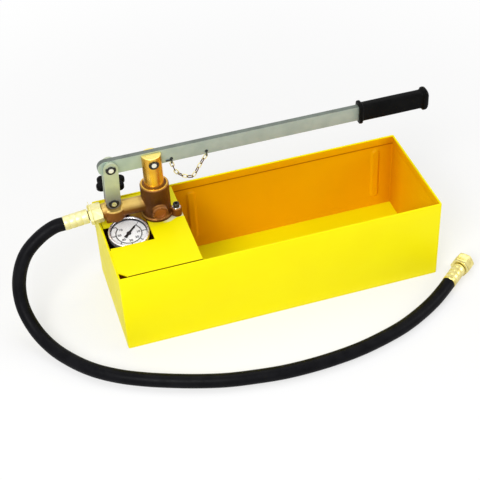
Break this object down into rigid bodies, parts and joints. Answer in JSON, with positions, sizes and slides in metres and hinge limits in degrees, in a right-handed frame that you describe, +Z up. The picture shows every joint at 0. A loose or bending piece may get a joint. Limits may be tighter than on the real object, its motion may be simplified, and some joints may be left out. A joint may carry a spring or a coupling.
{
  "type": "hydrostatic test pump",
  "caption": "Hand-operated pressure test pump on an open rectangular water tank, with a linked lever, forked piston, let-in gauge, shut-off valve and a hose ending in a union nut",
  "frame": {"origin": "centre of the tank's underside, on the surface the pump stands on", "axes": "+X along the tank towards the handle's grip, +Y to the back, +Z up"},
  "size_m": [0.7037, 0.3369, 0.258],
  "materials": {
    "yellow_paint": "smooth gloss enamel on sheet steel",
    "cast_brass": "as cast, dark golden brown",
    "turned_brass": "turned and polished",
    "pale_brass": "bright pale brass fittings",
    "zinc_steel": "dull zinc plate with a faint green cast",
    "black_steel": "blackened steel",
    "bright_steel": "bright steel",
    "gauge_steel": "polished bezel and case",
    "black_rubber": "matte black rubber",
    "black_plastic": "satin black plastic",
    "dial_white": "white dial",
    "gauge_glass": "clear window"
  },
  "bodies": {
    "tank": {"casting_bolt_left": "black_steel", "casting_bolt_rear": "black_steel", "casting_bolt_right": "black_steel", "casting_washer_left": "bright_steel", "casting_washer_rear": "bright_steel", "casting_washer_right": "bright_steel", "cylinder_nut": "turned_brass", "deck_cover": "yellow_paint", "deck_rail_front": "yellow_paint", "deck_rail_rear": "yellow_paint", "delivery_plug": "turned_brass", "delivery_seat": "turned_brass", "end_ferrule": "pale_brass", "end_nut": "pale_brass", "end_tail": "pale_brass", "end_washer": "black_rubber", "front_plug": "cast_brass", "gauge_bezel": "gauge_steel", "gauge_case": "gauge_steel", "gauge_dial": "dial_white", "gauge_glass": "gauge_glass", "gauge_movement": "turned_brass", "gauge_pressure_tube": "turned_brass", "gauge_stem": "turned_brass", "hose": "black_rubber", "hose_ferrule": "pale_brass", "hose_nut": "pale_brass", "hose_tail": "pale_brass", "piston_seal": "black_rubber", "pump_body": "cast_brass", "pump_plate": "yellow_paint", "suction_bush": "turned_brass", "suction_strainer": "bright_steel", "suction_tube": "turned_brass", "tank_shell": "yellow_paint", "valve_gland_nut": "turned_brass", "wiper_ring": "black_rubber"},
    "links": {"link_plate_front": "zinc_steel", "link_plate_rear": "zinc_steel", "link_bottom_pin": "bright_steel", "link_bottom_clip_front": "black_steel", "link_bottom_clip_rear": "black_steel", "link_top_pin": "bright_steel", "link_top_clip_front": "black_steel", "link_top_clip_rear": "black_steel"},
    "lever": {"lever_bar": "zinc_steel", "lever_grip": "black_plastic", "chain_ring": "black_steel", "lock_pin": "black_steel"},
    "chain": {"chain": "pale_brass"},
    "plunger": {"piston": "turned_brass", "piston_pin": "bright_steel", "piston_pin_clip_front": "black_steel", "piston_pin_clip_rear": "black_steel"},
    "valve_disc": {"valve_disc": "black_rubber"},
    "valve_knob": {"valve_spindle": "turned_brass", "star_knob": "black_plastic"},
    "suction_ball": {"suction_ball": "bright_steel"},
    "delivery_ball": {"delivery_ball": "bright_steel"},
    "gauge_pointer": {"gauge_pointer": "black_steel"}
  },
  "joints": [
    {"name": "link_swing", "type": "hinge", "parent": "tank", "child": "links", "pos_m": [-0.2243, 0.04, 0.17854], "axis": [0, -1, 0], "range_deg": [-8.5, 2.5]},
    {"name": "lever_swing", "type": "hinge", "parent": "links", "child": "lever", "pos_m": [-0.222, 0.04, 0.24], "axis": [0, -1, 0], "range_deg": [-11.5, 43]},
    {"name": "piston_slide", "type": "slide", "parent": "tank", "child": "plunger", "axis": [0, 0, 1], "range_m": [-0.0098, 0.0364]},
    {"name": "chain_swing", "type": "hinge", "parent": "lever", "child": "chain", "pos_m": [-0.13, 0.04, 0.2285], "axis": [1, 0, 0], "range_deg": [-50, 50]},
    {"name": "knob_turn", "type": "hinge", "parent": "tank", "child": "valve_knob", "pos_m": [-0.219, 0.077, 0.177], "axis": [0, 0, 1], "range_deg": [0, 1080]},
    {"name": "valve_lift", "type": "slide", "parent": "tank", "child": "valve_disc", "axis": [0, 0, 1], "range_m": [0, 0.0036]},
    {"name": "suction_ball_lift", "type": "slide", "parent": "tank", "child": "suction_ball", "axis": [0, 0, 1], "range_m": [0, 0.003]},
    {"name": "delivery_ball_lift", "type": "slide", "parent": "tank", "child": "delivery_ball", "axis": [0, 0, 1], "range_m": [0, 0.0006]},
    {"name": "pointer_turn", "type": "hinge", "parent": "tank", "child": "gauge_pointer", "pos_m": [-0.2115, 0.007, 0.1395], "axis": [0, 0.1219, -0.9925], "range_deg": [0, 270], "stiffness_Nm_per_rad": 0.002}
  ],
  "couplings": [
    {"joint": "link_swing", "follows": "lever_swing", "ratio": -0.19},
    {"joint": "piston_slide", "follows": "lever_swing", "m_per_rad": 0.0483},
    {"joint": "valve_lift", "follows": "knob_turn", "m_per_rad": 0.00018}
  ]
}
